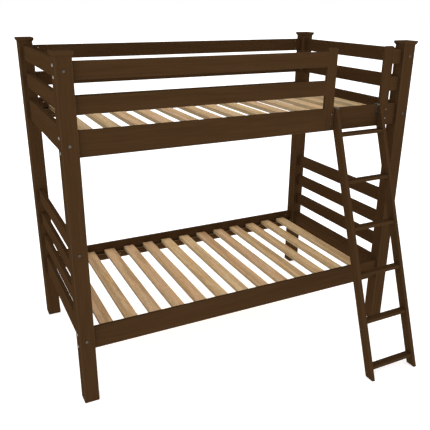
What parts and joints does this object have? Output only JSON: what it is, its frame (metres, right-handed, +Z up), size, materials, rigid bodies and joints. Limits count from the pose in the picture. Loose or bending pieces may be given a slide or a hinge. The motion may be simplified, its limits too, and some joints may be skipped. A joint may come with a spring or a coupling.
{
  "type": "bunk bed",
  "caption": "Wooden bunk bed for two equal mattresses, with slatted decks, railed ends, guard rails round the top and a leaning hook-on ladder at one side.",
  "frame": {"origin": "on the floor, at the centre of the box around the bed and its ladder", "axes": "+X along the length of the beds, +Y from the ladder side to the other side, +Z up"},
  "size_m": [2.021, 1.589, 1.785],
  "materials": {
    "stained_wood": "dark brown stain under a satin clear coat",
    "bare_wood": "planed and left natural",
    "steel": "zinc plated",
    "dark_steel": "dark grey finish"
  },
  "bodies": {
    "bed": {"post_front_left": "stained_wood", "post_front_right": "stained_wood", "post_rear_left": "stained_wood", "post_rear_right": "stained_wood", "cap_front_left": "stained_wood", "cap_front_right": "stained_wood", "cap_rear_left": "stained_wood", "cap_rear_right": "stained_wood", "lower_front_rail": "stained_wood", "lower_rear_rail": "stained_wood", "upper_front_rail": "stained_wood", "upper_rear_rail": "stained_wood", "lower_front_ledger": "stained_wood", "lower_rear_ledger": "stained_wood", "upper_front_ledger": "stained_wood", "upper_rear_ledger": "stained_wood", "lower_slats": "bare_wood", "upper_slats": "bare_wood", "front_guard_low": "stained_wood", "front_guard_top": "stained_wood", "short_guard_low": "stained_wood", "short_guard_top": "stained_wood", "rear_guard_low": "stained_wood", "rear_guard_top": "stained_wood", "guard_stile_left": "stained_wood", "guard_stile_right": "stained_wood", "left_lower_board": "stained_wood", "left_lower_rail_1": "stained_wood", "left_lower_rail_2": "stained_wood", "left_lower_rail_3": "stained_wood", "right_lower_board": "stained_wood", "right_lower_rail_1": "stained_wood", "right_lower_rail_2": "stained_wood", "right_lower_rail_3": "stained_wood", "left_upper_board": "stained_wood", "left_upper_rail_1": "stained_wood", "left_upper_rail_2": "stained_wood", "right_upper_board": "stained_wood", "right_upper_rail_1": "stained_wood", "right_upper_rail_2": "stained_wood", "end_bolts": "dark_steel", "end_barrel_nuts": "steel", "side_bolts": "steel", "side_barrel_nuts": "steel", "dowels": "bare_wood", "stile_screws": "steel", "slat_screws": "steel", "ledger_screws": "steel"},
    "ladder": {"ladder_rail_left": "stained_wood", "ladder_rail_right": "stained_wood", "ladder_tread_1": "stained_wood", "ladder_tread_2": "stained_wood", "ladder_tread_3": "stained_wood", "ladder_tread_4": "stained_wood", "ladder_tread_5": "stained_wood", "ladder_tread_6": "stained_wood", "ladder_hook_left": "dark_steel", "ladder_hook_right": "dark_steel", "hook_screws": "steel"}
  },
  "joints": [
    {"name": "ladder_lift", "type": "slide", "parent": "bed", "child": "ladder", "axis": [0, 0, 1], "range_m": [0, 0.06]}
  ]
}
